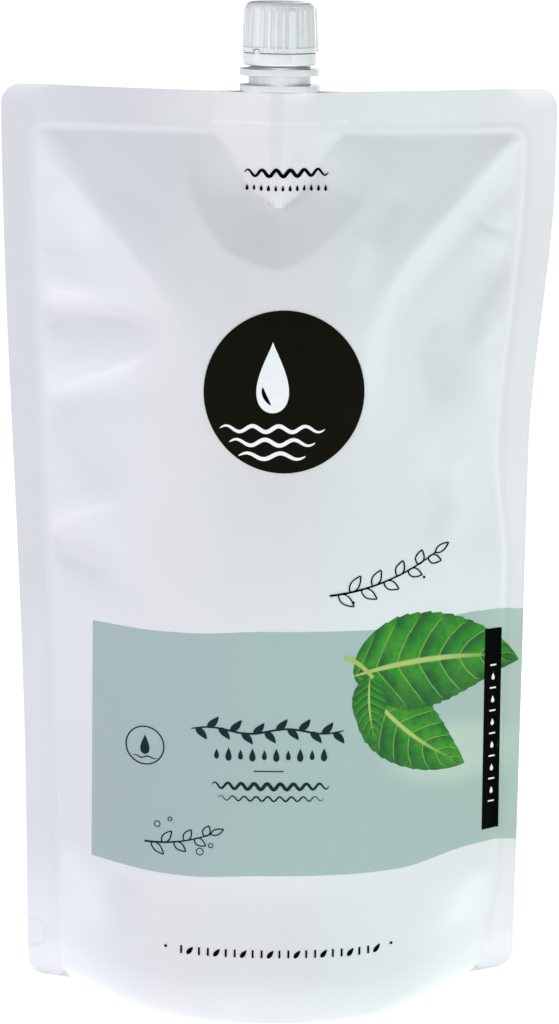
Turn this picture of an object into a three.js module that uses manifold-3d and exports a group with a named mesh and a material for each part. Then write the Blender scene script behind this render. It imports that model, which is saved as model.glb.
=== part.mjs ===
// Refill pouch for liquid soap: a filled stand-up film pouch with a welded spout,
// a tamper band and a ribbed screw cap.
// Millimetres, +Z up, the front panel faces -Y, the spout's axis is the Z axis.

import * as THREE from 'three';
import { mergeVertices } from 'three/addons/utils/BufferGeometryUtils.js';
import Module from 'manifold-3d';

const wasm = await Module();
wasm.setup();

// Gap between pieces that touch on the real pack
const clearance = 0.3;

// Film outline
const pouchWidth = 175;
const pouchHeight = 292.4;
const cornerRise = 2;
const risePower = 1.5;
const topCornerRadius = 6.3;
const bottomCornerRadius = 5;
const sideSeal = 10;
const topSeal = 12.6;
const sealThickness = 0.8;

// The filling draws the sides in: half width at the foot, a straight taper above it,
// and a flare out to the full width between two heights
const leftEdge = { foot: 77.9, taper: 4, flareFrom: 60, flareTo: 286 };
const rightEdge = { foot: 78.2, taper: 3.6, flareFrom: 180, flareTo: 265 };

// Filled depth, as half depths on the centre line
const baseDepth = 31.5;
const bellyDepth = 33;
const bellyHeight = 60;
const shoulderDepth = 16;
const shoulderHeight = 262;
const bellyTaper = 1.25;
const sectionPower = 2;

// Shoulder that runs down from the top seal, and its crease against the sides
const roofDepth = 38;
const roofReach = 95;
const creaseRadius = 3.2;
const creaseShare = 0.8;

// The side seals bend back a little
const sealSweep = 4;
const sweepPower = 3;

// Base: the lower corners are drawn up off the floor and the gusset is folded between the panels
const leftLift = 9.1;
const rightLift = 12.8;
const liftBegins = 0.3;
const liftEnds = 1.1;
const liftFade = 70;
const gussetWeldDepth = 3.2;
const gussetWeldWidth = 16;
const gussetFoldHeight = 15;
const gussetCrease = 0.5;
const gussetCreaseWidth = 8;

// Where the base changes, as shares of the way from its middle crease to the panel's edge
const gussetShares = { crease: 0.045, web: 0.4, slope: 0.72, groove: 0.92, rim: 0.97 };

// Where the gusset's side folds rise and end, as shares of the way from the middle to the side seal
const gussetFold = { from: 0.45, full: 0.85, falls: 0.88 };

// Spout boat, welded between the panels
const boreRadius = 6;
const boatWall = 1.2;
const boatFilm = 0.5;
const boatTip = 0.4;
const boatDrop = 0.8;
const weldHalfWidth = 21.5;
const weldRidge = 1.1;
const patchRadius = 1;
const tentRadius = 0.8;

// Spout neck and wing flanges
const neckWall = 2.7;
const collarStep = 1.15;
const flangeReach = 2.75;
const flangeThickness = 2;
const flangeGap = 3.1;
const collarAbove = 0.6;
const beadHeight = 0.65;
const beadLength = 1.4;
const beadDrop = 0.6;
const mouthChamfer = 0.5;

// Tamper band
const bandGap = 1.2;
const bandLength = 3.7;
const bandWall = 2;
const bandLip = 0.35;
const bandLipLength = 0.9;
const bandChamfer = 0.5;
const bridgeCount = 3;
const bridgeWidth = 1.6;
const bridgeHeight = 1.3;
const bridgeSlant = 1;
const bridgeDepth = 1.2;
const bridgeInset = 0.15;
const bridgeRoot = 0.5;

// Screw cap
const capLength = 15.7;
const capWall = 1.75;
const capTop = 1.8;
const capTaper = 0.7;
const capCornerRadius = 2;
const threadHeight = 0.75;
const plugWall = 1.3;
const plugLength = 3.4;
const skirtHeight = 1.5;
const skirtStep = 0.25;
const ribHeight = 0.45;
const ribWidth = 1.05;
const ribCrest = 0.55;
const wideRibWidth = 2.6;
const shortRibRise = 1.9;
const ribTopDrop = 2.2;
const ribRoot = 0.5;
const ribFade = 0.1;

// Round each third of the cap, in degrees from its bridge: ribs that reach the edge, a wide one,
// and ribs that stop at the skirt
const firstBridge = -41;
const ribPitch = 11.5;
const longRibs = { count: 4, from: 11 };
const wideRibAt = 59.7;
const shortRibs = { count: 4, from: 72.8 };

// Places that follow from the sizes above
const boatDepth = boreRadius + boatWall;
const patchDepth = boatDepth + clearance + boatFilm;
const patchSlope = patchDepth * weldRidge;
const boatHalfWidth = weldHalfWidth * (1 - (boatTip + clearance + boatFilm) / patchSlope);
const threadRadius = boreRadius + neckWall;
const collarRadius = threadRadius + collarStep;
const flangeRadius = collarRadius + flangeReach;
const beadRadius = threadRadius + beadHeight;
const lowerFlange = pouchHeight + clearance;
const upperFlange = lowerFlange + flangeThickness + flangeGap;
const collarTop = upperFlange + flangeThickness + collarAbove;
const bandBottom = upperFlange + flangeThickness + bandGap;
const bandTop = bandBottom + bandLength;
const bandInner = beadRadius + clearance;
const bandRadius = bandInner + bandWall;
const capBottom = bandTop + clearance;
const capHeightTop = capBottom + capLength;
const mouth = capHeightTop - capTop - clearance;
const capInner = threadRadius + threadHeight + clearance;
const capRadius = capInner + capWall;
const beadTop = bandTop - beadDrop;

// Folds pinched into the panels beside the side seals: side, height, and how far they run inwards
const foldBegins = 5;
const pinchFolds = [
  { side: -1, height: 221, run: 42, width: 6, depth: 2.4, slope: 0.05 },
  { side: -1, height: 196, run: 40, width: 6, depth: 2.2, slope: 0.1 },
  { side: -1, height: 150, run: 34, width: 8, depth: 2.2, slope: -0.45 },
  { side: -1, height: 57, run: 12, width: 5, depth: 1.2, slope: -0.2 },
  { side: 1, height: 241, run: 20, width: 6, depth: 1.4, slope: -0.6 },
  { side: 1, height: 158, run: 16, width: 14, depth: 1.4, slope: 0 },
];

// Broad hollows in the panels: place, half length and half width, and the turn of the length from upright
const hollows = [
  { x: 54, height: 212, along: 36, across: 11, depth: 2.6, turn: -0.5 },
  { x: 46, height: 165, along: 22, across: 9, depth: 1.2, turn: 0.2 },
  { x: 0, height: 251, along: 13, across: 21, depth: 1.7, turn: 0 },
];

const backFoldShift = -11;

// Mesh grid of the pouch
const shoulderRun = 60;
const sealStep = 0.8;
const patchColumns = [0.07, 0.3, 0.55, 0.8, 1];
const panelColumns = 9;
const sealColumns = 2;
const bodyRows = 21;
const shoulderRows = 11;
const cornerRows = 4;
const roundSegments = 40;
const boatSteps = 12;
const cornerSteps = 4;

// How far a cutting body runs on past what it cuts, and a joined one into what it joins
const overrun = 1;
const mergeDistance = 1e-5;

function clamp(value, low, high) {
  return Math.min(high, Math.max(low, value));
}

function smoothStep(from, to, value) {
  const t = clamp((value - from) / (to - from), 0, 1);
  return t * t * (3 - 2 * t);
}

// Smaller of two values with the corner between them rounded over the given radius
function softMin(a, b, radius) {
  const t = clamp(0.5 + (0.5 * (b - a)) / radius, 0, 1);
  return b + (a - b) * t - radius * t * (1 - t);
}

function softMax(a, b, radius) {
  return -softMin(-a, -b, radius);
}

// How far a rounded corner takes the outline in, at a distance from the edge it rounds
function cornerInset(distance, radius) {
  if (distance >= radius) return 0;
  const rise = radius - Math.max(0, distance);
  return radius - Math.sqrt(radius * radius - rise * rise);
}

function halfWidth(side, height) {
  const edge = side < 0 ? leftEdge : rightEdge;
  const shoulder = pouchHeight - topCornerRadius;
  const taper = edge.taper * Math.min(1, height / shoulder);
  const flare = (pouchWidth / 2 - edge.foot - edge.taper)
    * smoothStep(edge.flareFrom, Math.min(edge.flareTo, shoulder), height);
  return edge.foot + taper + flare
    - cornerInset(pouchHeight - height, topCornerRadius)
    - cornerInset(height, bottomCornerRadius);
}

// Half depth of the film over the boat, which runs on below the boat as a tent
function patchHalfDepth(x) {
  const flank = patchSlope * (1 - Math.abs(x) / weldHalfWidth);
  return softMin(patchDepth, flank, patchRadius);
}

function bellyHalfDepth(height) {
  if (height < bellyHeight) {
    return baseDepth + (bellyDepth - baseDepth) * smoothStep(0, bellyHeight, height);
  }
  const up = (height - bellyHeight) / (shoulderHeight - bellyHeight);
  return bellyDepth - (bellyDepth - shoulderDepth) * up ** bellyTaper;
}

// Depth that the folds and hollows take off one panel
function foldDepth(x, height, inner) {
  const inwards = inner - Math.abs(x);
  let depth = 0;
  for (const fold of pinchFolds) {
    if (Math.sign(x) !== fold.side || inwards <= 0 || inwards >= fold.run) continue;
    const offset = (height - fold.height - fold.slope * inwards) / fold.width;
    const begin = smoothStep(0, foldBegins, inwards);
    const fade = 1 - inwards / fold.run;
    depth += fold.depth * begin * fade * Math.exp(-offset * offset);
  }
  for (const hollow of hollows) {
    const dx = x - hollow.x;
    const dh = height - hollow.height;
    const along = (dh * Math.cos(hollow.turn) - dx * Math.sin(hollow.turn)) / hollow.along;
    const across = (dx * Math.cos(hollow.turn) + dh * Math.sin(hollow.turn)) / hollow.across;
    depth += hollow.depth * Math.exp(-along * along - across * across);
  }
  return depth;
}

// Half depth of the film from the pouch's middle plane, on the front (-1) or the back (1) panel
function panelDepth(panel, x, height) {
  const inner = halfWidth(Math.sign(x), height) - sideSeal;
  const share = Math.min(1, Math.abs(x) / inner);
  const section = bellyHalfDepth(height) * (1 - share ** sectionPower);
  const below = Math.max(0, pouchHeight - topSeal - height);
  const roof = roofDepth * (1 - Math.exp(-below / roofReach));
  const crease = Math.max(sealStep / 100, Math.min(creaseRadius, creaseShare * Math.min(section, roof)));
  let depth = softMin(section, roof, crease);
  depth -= panel < 0 ? foldDepth(x, height, inner) : foldDepth(-x, height + backFoldShift, inner);
  depth = softMax(depth, patchHalfDepth(x), tentRadius);
  return Math.max(sealThickness / 2, depth);
}

function edgeLift(x, height) {
  const share = Math.abs(x) / halfWidth(Math.sign(x), bottomCornerRadius);
  const low = (x < 0 ? leftLift : rightLift) * smoothStep(liftBegins, liftEnds, share);
  const high = cornerRise * (Math.abs(x) / (pouchWidth / 2)) ** risePower;
  return low * (1 - smoothStep(0, liftFade, height))
    + high * smoothStep(pouchHeight / 2, pouchHeight, height);
}

function pouchPoint(panel, column, height) {
  const inner = halfWidth(column.side, height) - sideSeal;
  const starts = { patch: 0, panel: weldHalfWidth, seal: inner };
  const ends = { patch: weldHalfWidth, panel: inner, seal: inner + sideSeal };
  const start = starts[column.zone];
  const x = column.side * (start + column.share * (ends[column.zone] - start));
  const sweep = sealSweep * (Math.abs(x) / (pouchWidth / 2)) ** sweepPower;
  const y = panel * panelDepth(panel, x, height) + sweep;
  return [x, y, height + edgeLift(x, height)];
}

// Columns across the film, from the left edge to the right: over the boat's patch, the panel and the seal
function pouchColumns() {
  const half = [];
  for (const share of patchColumns) half.push({ zone: 'patch', share });
  for (let i = 1; i <= panelColumns; i += 1) {
    half.push({ zone: 'panel', share: Math.sin((Math.PI / 2) * (i / panelColumns) ** 1.2) });
  }
  for (let i = 1; i <= sealColumns; i += 1) half.push({ zone: 'seal', share: i / sealColumns });
  const left = half.map((column) => ({ ...column, side: -1 })).reverse();
  const right = half.map((column) => ({ ...column, side: 1 }));
  return [...left, { zone: 'patch', share: 0, side: 1 }, ...right];
}

// Heights of the rows, closer together round the corners and over the shoulder
function pouchRows() {
  const rows = [];
  const sealLine = pouchHeight - topSeal;
  const shoulderLine = sealLine - shoulderRun;
  for (let i = 0; i < cornerRows; i += 1) {
    rows.push(bottomCornerRadius * (1 - Math.cos((Math.PI / 2) * (i / cornerRows))));
  }
  for (let i = 0; i < bodyRows; i += 1) {
    rows.push(bottomCornerRadius + (shoulderLine - bottomCornerRadius) * (i / bodyRows));
  }
  for (let i = 0; i <= shoulderRows; i += 1) {
    rows.push(shoulderLine + (sealLine - shoulderLine) * (i / shoulderRows));
  }
  rows.push(sealLine + sealStep);
  for (let i = cornerRows; i >= 0; i -= 1) {
    rows.push(pouchHeight - topCornerRadius * (1 - Math.cos((Math.PI / 2) * (i / cornerRows))));
  }
  return rows;
}

// Height of the gusset above the lower edge, at a share of the way out from the middle plane
function gussetHeight(x, edgeDepth, share) {
  const inner = halfWidth(Math.sign(x), bottomCornerRadius) - sideSeal;
  const side = Math.min(1, Math.abs(x) / inner);
  const at = gussetShares;
  const groove = smoothStep(at.slope, at.groove, share) * (1 - smoothStep(at.groove, at.rim, share));
  const weld = gussetWeldDepth * groove * smoothStep(0, gussetWeldWidth, edgeDepth);
  const raised = smoothStep(gussetFold.from, gussetFold.full, side) * (1 - smoothStep(gussetFold.falls, 1, side));
  const fold = gussetFoldHeight * raised * (1 - share * share);
  const crease = (1 - smoothStep(0, at.crease, share)) * smoothStep(0, gussetCreaseWidth, edgeDepth);
  return weld + fold + gussetCrease * crease;
}

function makePouchBody() {
  const columns = pouchColumns();
  const rows = pouchRows();
  const across = columns.length;
  const positions = [];
  const triangles = [];
  const quad = (a, b, c, d) => triangles.push(a, b, c, a, c, d);
  for (const height of rows) {
    for (const panel of [-1, 1]) {
      for (const column of columns) positions.push(...pouchPoint(panel, column, height));
    }
  }
  const front = (row, i) => row * 2 * across + i;
  const back = (row, i) => front(row, i) + across;
  for (let row = 0; row < rows.length - 1; row += 1) {
    for (let i = 0; i < across - 1; i += 1) {
      quad(front(row, i), front(row, i + 1), front(row + 1, i + 1), front(row + 1, i));
      quad(back(row, i + 1), back(row, i), back(row + 1, i), back(row + 1, i + 1));
    }
    if (row === 0) continue;
    quad(back(row, 0), front(row, 0), front(row + 1, 0), back(row + 1, 0));
    quad(front(row, across - 1), back(row, across - 1), back(row + 1, across - 1), front(row + 1, across - 1));
  }
  const top = rows.length - 1;
  for (let i = 0; i < across - 1; i += 1) {
    quad(front(top, i), front(top, i + 1), back(top, i + 1), back(top, i));
  }
  // The underside runs from the front panel's lower edge to the back panel's
  const outwards = [...Object.values(gussetShares), 1];
  const shares = [...outwards.slice().reverse(), 0, ...outwards.map((share) => -share)];
  const underside = shares.map((share, k) => columns.map((column, i) => {
    if (k === 0) return front(0, i);
    if (k === shares.length - 1) return back(0, i);
    const at = front(0, i) * 3;
    const x = positions[at];
    const middle = (positions[at + 1] + positions[back(0, i) * 3 + 1]) / 2;
    const depth = middle - positions[at + 1];
    const z = positions[at + 2] + gussetHeight(x, depth, Math.abs(share));
    positions.push(x, middle - share * depth, z);
    return positions.length / 3 - 1;
  }));
  for (let k = 0; k < shares.length - 1; k += 1) {
    for (let i = 0; i < across - 1; i += 1) {
      quad(underside[k][i], underside[k + 1][i], underside[k + 1][i + 1], underside[k][i + 1]);
    }
    // Fan that closes the side edge against the underside's points
    triangles.push(underside[k + 1][0], underside[k][0], front(1, 0));
    triangles.push(underside[k][across - 1], underside[k + 1][across - 1], front(1, across - 1));
  }
  triangles.push(back(0, 0), front(1, 0), back(1, 0));
  triangles.push(back(0, across - 1), back(1, across - 1), front(1, across - 1));
  const geometry = new THREE.BufferGeometry();
  geometry.setAttribute('position', new THREE.Float32BufferAttribute(positions, 3));
  geometry.setIndex(triangles);
  return geometry;
}

function toSolid(geometry) {
  const bare = geometry.clone();
  bare.deleteAttribute('normal');
  bare.deleteAttribute('uv');
  const merged = mergeVertices(bare, mergeDistance);
  return new wasm.Manifold(new wasm.Mesh({
    numProp: 3,
    vertProperties: new Float32Array(merged.attributes.position.array),
    triVerts: new Uint32Array(merged.index.array),
  }));
}

function toGeometry(solid) {
  const mesh = solid.getMesh();
  const geometry = new THREE.BufferGeometry();
  geometry.setAttribute('position', new THREE.BufferAttribute(mesh.vertProperties, 3));
  geometry.setIndex(new THREE.BufferAttribute(mesh.triVerts, 1));
  geometry.computeVertexNormals();
  return geometry;
}

// Flat outline raised from one height to another
function upright(shape, bottom, top) {
  const geometry = new THREE.ExtrudeGeometry(shape, { depth: top - bottom, bevelEnabled: false, curveSegments: 16 });
  return geometry.translate(0, 0, bottom);
}

// Body of revolution about the Z axis, from a profile of [radius, height] points
function turned(profile) {
  const points = profile.map(([radius, height]) => new THREE.Vector2(radius, height));
  return new THREE.LatheGeometry(points, roundSegments).rotateX(Math.PI / 2);
}

// Plan of the boat, or of its pocket in the film when it is grown by the clearance
function boatOutline(growth) {
  const half = boatHalfWidth + growth;
  const front = [];
  const back = [];
  for (let i = -boatSteps; i <= boatSteps; i += 1) {
    const x = (half * i) / boatSteps;
    const within = Math.min(Math.abs(x), boatHalfWidth);
    const depth = patchHalfDepth(within) - boatFilm - clearance + growth;
    front.push(new THREE.Vector2(x, -depth));
    back.unshift(new THREE.Vector2(x, depth));
  }
  return new THREE.Shape([...front, ...back]);
}

function makePouch() {
  const pocketFloor = pouchHeight - topSeal - clearance;
  const pocket = toSolid(upright(boatOutline(clearance), pocketFloor, pouchHeight + cornerRise + overrun));
  return toGeometry(toSolid(makePouchBody()).subtract(pocket));
}

// Flange with a wing to each side, cut off flush with the collar at the front and back
function flangeOutline() {
  const angle = Math.asin(collarRadius / flangeRadius);
  const shape = new THREE.Shape();
  shape.absarc(0, 0, flangeRadius, -angle, angle, false);
  shape.absarc(0, 0, flangeRadius, Math.PI - angle, Math.PI + angle, false);
  return shape;
}

function makeSpout() {
  const beadBottom = beadTop - beadLength;
  const neck = toSolid(turned([
    [0, lowerFlange - boatDrop - overrun],
    [boatDepth, lowerFlange - boatDrop - overrun],
    [boatDepth, lowerFlange],
    [collarRadius, lowerFlange],
    [collarRadius, collarTop],
    [threadRadius, collarTop],
    [threadRadius, beadBottom],
    [beadRadius, beadBottom],
    [beadRadius, beadBottom + beadLength / 3],
    [threadRadius, beadTop],
    [threadRadius, mouth - mouthChamfer],
    [threadRadius - mouthChamfer, mouth],
    [0, mouth],
  ]));
  const boat = toSolid(upright(boatOutline(0), pouchHeight - topSeal, lowerFlange - boatDrop));
  const lower = toSolid(upright(flangeOutline(), lowerFlange, lowerFlange + flangeThickness));
  const upper = toSolid(upright(flangeOutline(), upperFlange, upperFlange + flangeThickness));
  const bore = toSolid(turned([
    [0, pouchHeight - topSeal - overrun],
    [boreRadius, pouchHeight - topSeal - overrun],
    [boreRadius, mouth + overrun],
    [0, mouth + overrun],
  ]));
  return toGeometry(neck.add(boat).add(lower).add(upper).subtract(bore));
}

// Angle round the spout, in radians, of a place in one third of the cap and band
function sectorAngle(sector, degrees = 0) {
  return THREE.MathUtils.degToRad(firstBridge + (360 * sector) / bridgeCount + degrees);
}

// Bridge between band and cap: upright on one side, slanted on the other
function bridgeShape(growth) {
  const half = bridgeWidth / 2 + growth;
  return new THREE.Shape([
    new THREE.Vector2(-half, -bridgeRoot),
    new THREE.Vector2(half + bridgeSlant, -bridgeRoot),
    new THREE.Vector2(half, bridgeHeight + growth),
    new THREE.Vector2(-half, bridgeHeight + growth),
  ]);
}

// One bridge, or its notch when grown by the clearance, standing on the band at the given angle
function bridge(angle, growth, inner, outer) {
  const geometry = new THREE.ExtrudeGeometry(bridgeShape(growth), { depth: outer - inner, bevelEnabled: false });
  geometry.rotateX(Math.PI / 2).translate(0, -inner, bandTop);
  return toSolid(geometry.rotateZ(angle));
}

function makeTamperBand() {
  let band = toSolid(turned([
    [bandInner - bandLip, bandBottom],
    [bandRadius - bandChamfer, bandBottom],
    [bandRadius, bandBottom + bandChamfer],
    [bandRadius, bandTop],
    [bandInner, bandTop],
    [bandInner, bandBottom + bandLipLength],
    [bandInner - bandLip, bandBottom + bandLipLength / 2],
    [bandInner - bandLip, bandBottom],
  ]));
  for (let sector = 0; sector < bridgeCount; sector += 1) {
    band = band.add(bridge(sectorAngle(sector), 0, bandRadius - bridgeDepth, bandRadius - bridgeInset));
  }
  return toGeometry(band);
}

// Cap radius at a height above its lower edge, without ribs
function capRadiusAt(height) {
  return capRadius - (capTaper * height) / capLength;
}

function rib(angle, bottom, width) {
  const top = capLength - ribTopDrop;
  const lowRadius = capRadiusAt(bottom);
  const highRadius = capRadiusAt(top);
  const root = width / 2;
  const crest = root - (ribWidth - ribCrest) / 2;
  const section = [
    [-root, -ribRoot],
    [root, -ribRoot],
    [root, 0],
    [crest, ribHeight],
    [-crest, ribHeight],
    [-root, 0],
  ];
  const positions = [];
  const levels = [
    { height: bottom, radius: lowRadius, stand: 1 },
    { height: top - ribHeight, radius: capRadiusAt(top - ribHeight), stand: 1 },
    { height: top + ribHeight, radius: highRadius, stand: ribFade },
  ];
  for (const level of levels) {
    for (const [across, out] of section) {
      positions.push(across, -(level.radius + (out > 0 ? out * level.stand : out)), capBottom + level.height);
    }
  }
  const count = section.length;
  const triangles = [];
  for (let level = 0; level < levels.length - 1; level += 1) {
    for (let i = 0; i < count; i += 1) {
      const next = (i + 1) % count;
      const a = level * count + i;
      const b = level * count + next;
      triangles.push(a, a + count, b + count, a, b + count, b);
    }
  }
  const last = (levels.length - 1) * count;
  for (let i = 1; i < count - 1; i += 1) {
    triangles.push(0, i, i + 1, last, last + i + 1, last + i);
  }
  const geometry = new THREE.BufferGeometry();
  geometry.setAttribute('position', new THREE.Float32BufferAttribute(positions, 3));
  geometry.setIndex(triangles);
  return toSolid(geometry.rotateZ(angle));
}

// Every rib of the cap, as its angle, the height of its foot and its width
function capRibs() {
  const ribs = [];
  for (let sector = 0; sector < bridgeCount; sector += 1) {
    for (let i = 0; i < longRibs.count; i += 1) {
      ribs.push([sectorAngle(sector, longRibs.from + i * ribPitch), 0, ribWidth]);
    }
    ribs.push([sectorAngle(sector, wideRibAt), 0, wideRibWidth]);
    for (let i = 0; i < shortRibs.count; i += 1) {
      ribs.push([sectorAngle(sector, shortRibs.from + i * ribPitch), shortRibRise, ribWidth]);
    }
  }
  return ribs;
}

function makeCap() {
  const corner = [];
  const top = capHeightTop;
  const edge = capRadiusAt(capLength - capCornerRadius);
  for (let i = 0; i <= cornerSteps; i += 1) {
    const turn = (Math.PI / 2) * (i / cornerSteps);
    corner.push([
      edge - capCornerRadius * (1 - Math.cos(turn)),
      top - capCornerRadius * (1 - Math.sin(turn)),
    ]);
  }
  let cap = toSolid(turned([
    [0, capBottom],
    [capRadius + skirtStep, capBottom],
    [capRadius + skirtStep, capBottom + skirtHeight],
    [capRadiusAt(skirtHeight + skirtStep), capBottom + skirtHeight + skirtStep],
    ...corner,
    [0, top],
  ]));
  for (const [angle, bottom, width] of capRibs()) cap = cap.add(rib(angle, bottom, width));
  const plug = boreRadius - clearance;
  const ceiling = mouth + clearance;
  const hollow = toSolid(turned([
    [0, capBottom - overrun],
    [capInner, capBottom - overrun],
    [capInner, ceiling],
    [plug, ceiling],
    [plug, ceiling - plugLength],
    [plug - plugWall, ceiling - plugLength],
    [plug - plugWall, ceiling],
    [0, ceiling],
  ]));
  cap = cap.subtract(hollow);
  for (let sector = 0; sector < bridgeCount; sector += 1) {
    const notch = bridge(
      sectorAngle(sector), clearance, bandRadius - bridgeDepth - clearance, capRadius + ribHeight + clearance,
    );
    cap = cap.subtract(notch);
  }
  return toGeometry(cap);
}

function named(name, geometry, colour, roughness) {
  const material = new THREE.MeshStandardMaterial({ color: colour, roughness, metalness: 0 });
  const mesh = new THREE.Mesh(geometry, material);
  mesh.name = name;
  return mesh;
}

const pack = new THREE.Group();
pack.add(named('pouch', makePouch(), 0xf2f3f5, 0.55));
pack.add(named('spout', makeSpout(), 0xc9d2d6, 0.3));
pack.add(named('tamper_band', makeTamperBand(), 0xd3dade, 0.3));
pack.add(named('cap', makeCap(), 0xd3dade, 0.3));

export default pack;
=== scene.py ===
"""Refill pouch of liquid hand soap: paper and film pouch, welded spout, tamper band and ribbed screw cap.

Metres, +Z up, the printed front faces -Y. Lengths in the tables below are in millimetres.
"""

import math

import bpy
import numpy as np
from mathutils import Matrix, Vector


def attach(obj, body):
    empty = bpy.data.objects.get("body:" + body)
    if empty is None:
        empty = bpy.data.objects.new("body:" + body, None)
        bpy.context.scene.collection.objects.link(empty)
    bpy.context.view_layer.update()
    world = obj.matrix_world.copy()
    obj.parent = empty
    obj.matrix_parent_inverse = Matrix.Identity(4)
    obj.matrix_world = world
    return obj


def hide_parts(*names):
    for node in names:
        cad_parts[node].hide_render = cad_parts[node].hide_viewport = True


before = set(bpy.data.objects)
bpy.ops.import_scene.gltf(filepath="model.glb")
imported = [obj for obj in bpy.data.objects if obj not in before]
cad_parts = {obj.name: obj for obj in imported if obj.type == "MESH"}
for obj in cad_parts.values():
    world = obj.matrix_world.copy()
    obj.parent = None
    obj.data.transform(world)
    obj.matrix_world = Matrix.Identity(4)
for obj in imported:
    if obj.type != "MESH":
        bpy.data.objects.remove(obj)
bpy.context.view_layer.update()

MM = 0.001

# Film outline and filling, as in the part's source, but with a sharper crease under the roof
POUCH_WIDTH = 175.0
POUCH_HEIGHT = 292.4
CORNER_RISE = 2.0
TOP_CORNER = 6.3
BOTTOM_CORNER = 5.0
SIDE_SEAL = 10.0
TOP_SEAL = 12.6
FILM = 0.8
LEFT_EDGE = dict(foot=77.9, taper=4.0, flare_from=60.0, flare_to=286.0)
RIGHT_EDGE = dict(foot=78.2, taper=3.6, flare_from=180.0, flare_to=265.0)
BASE_DEPTH = 31.5
BELLY_DEPTH = 33.0
BELLY_HEIGHT = 60.0
SHOULDER_DEPTH = 16.0
SHOULDER_HEIGHT = 262.0
BELLY_TAPER = 1.25
ROOF_DEPTH = 38.0
ROOF_REACH = 95.0
CREASE_RADIUS = 1.6
CREASE_SHARE = 0.8
SEAL_SWEEP = 4.0

# Lower corners drawn up off the floor, from one share of the half width to another
LIFT_LEFT = 9.1
LIFT_RIGHT = 12.8
LIFT_BEGINS = 0.3
LIFT_ENDS = 1.1
LIFT_FADE = 70.0

# Weld over the spout's boat, and the pocket that the boat sits in
WELD_HALF = 21.5
PATCH_DEPTH = 8.0
WELD_RIDGE = 1.1
BOAT_HALF = 18.57
BOAT_FILM = 0.5
CLEARANCE = 0.3

# Folded base: its weld's groove, the folds at its sides and its middle crease, and the shares of the way
# out to the panel's edge, or to the side seal, at which they change
GUSSET = dict(weld=3.2, weld_width=16.0, fold=15.0, crease=0.5, crease_width=8.0)
GUSSET_SHARES = dict(crease=0.045, slope=0.72, groove=0.92, rim=0.97)
SIDE_FOLD_SHARES = dict(rises=0.45, full=0.85, falls=0.88)

# The back has the front's folds, mirrored and this much higher
BACK_FOLDS_RAISED = 11.0

# Folds pinched in beside the side seals: side, height, run inwards, half width, depth, slope
PINCH_FOLDS = (
    (-1, 221, 42, 6, 2.4, 0.05),
    (-1, 196, 40, 6, 1.6, 0.1),
    (-1, 150, 34, 8, 2.0, -0.45),
    (-1, 57, 12, 5, 1.2, -0.2),
    (1, 241, 20, 6, 1.4, -0.6),
    (1, 158, 16, 14, 1.4, 0),
)
PINCH_BEGINS = 5.0

# Broad hollows: x, height, half length, half width, depth, turn
HOLLOWS = (
    (54, 212, 36, 11, 2.2, -0.5),
    (46, 165, 22, 9, 1.2, 0.2),
    (52, 262, 8, 14, 0.6, 0.5),
    (-52, 262, 9, 16, 0.7, -0.5),
)

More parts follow.
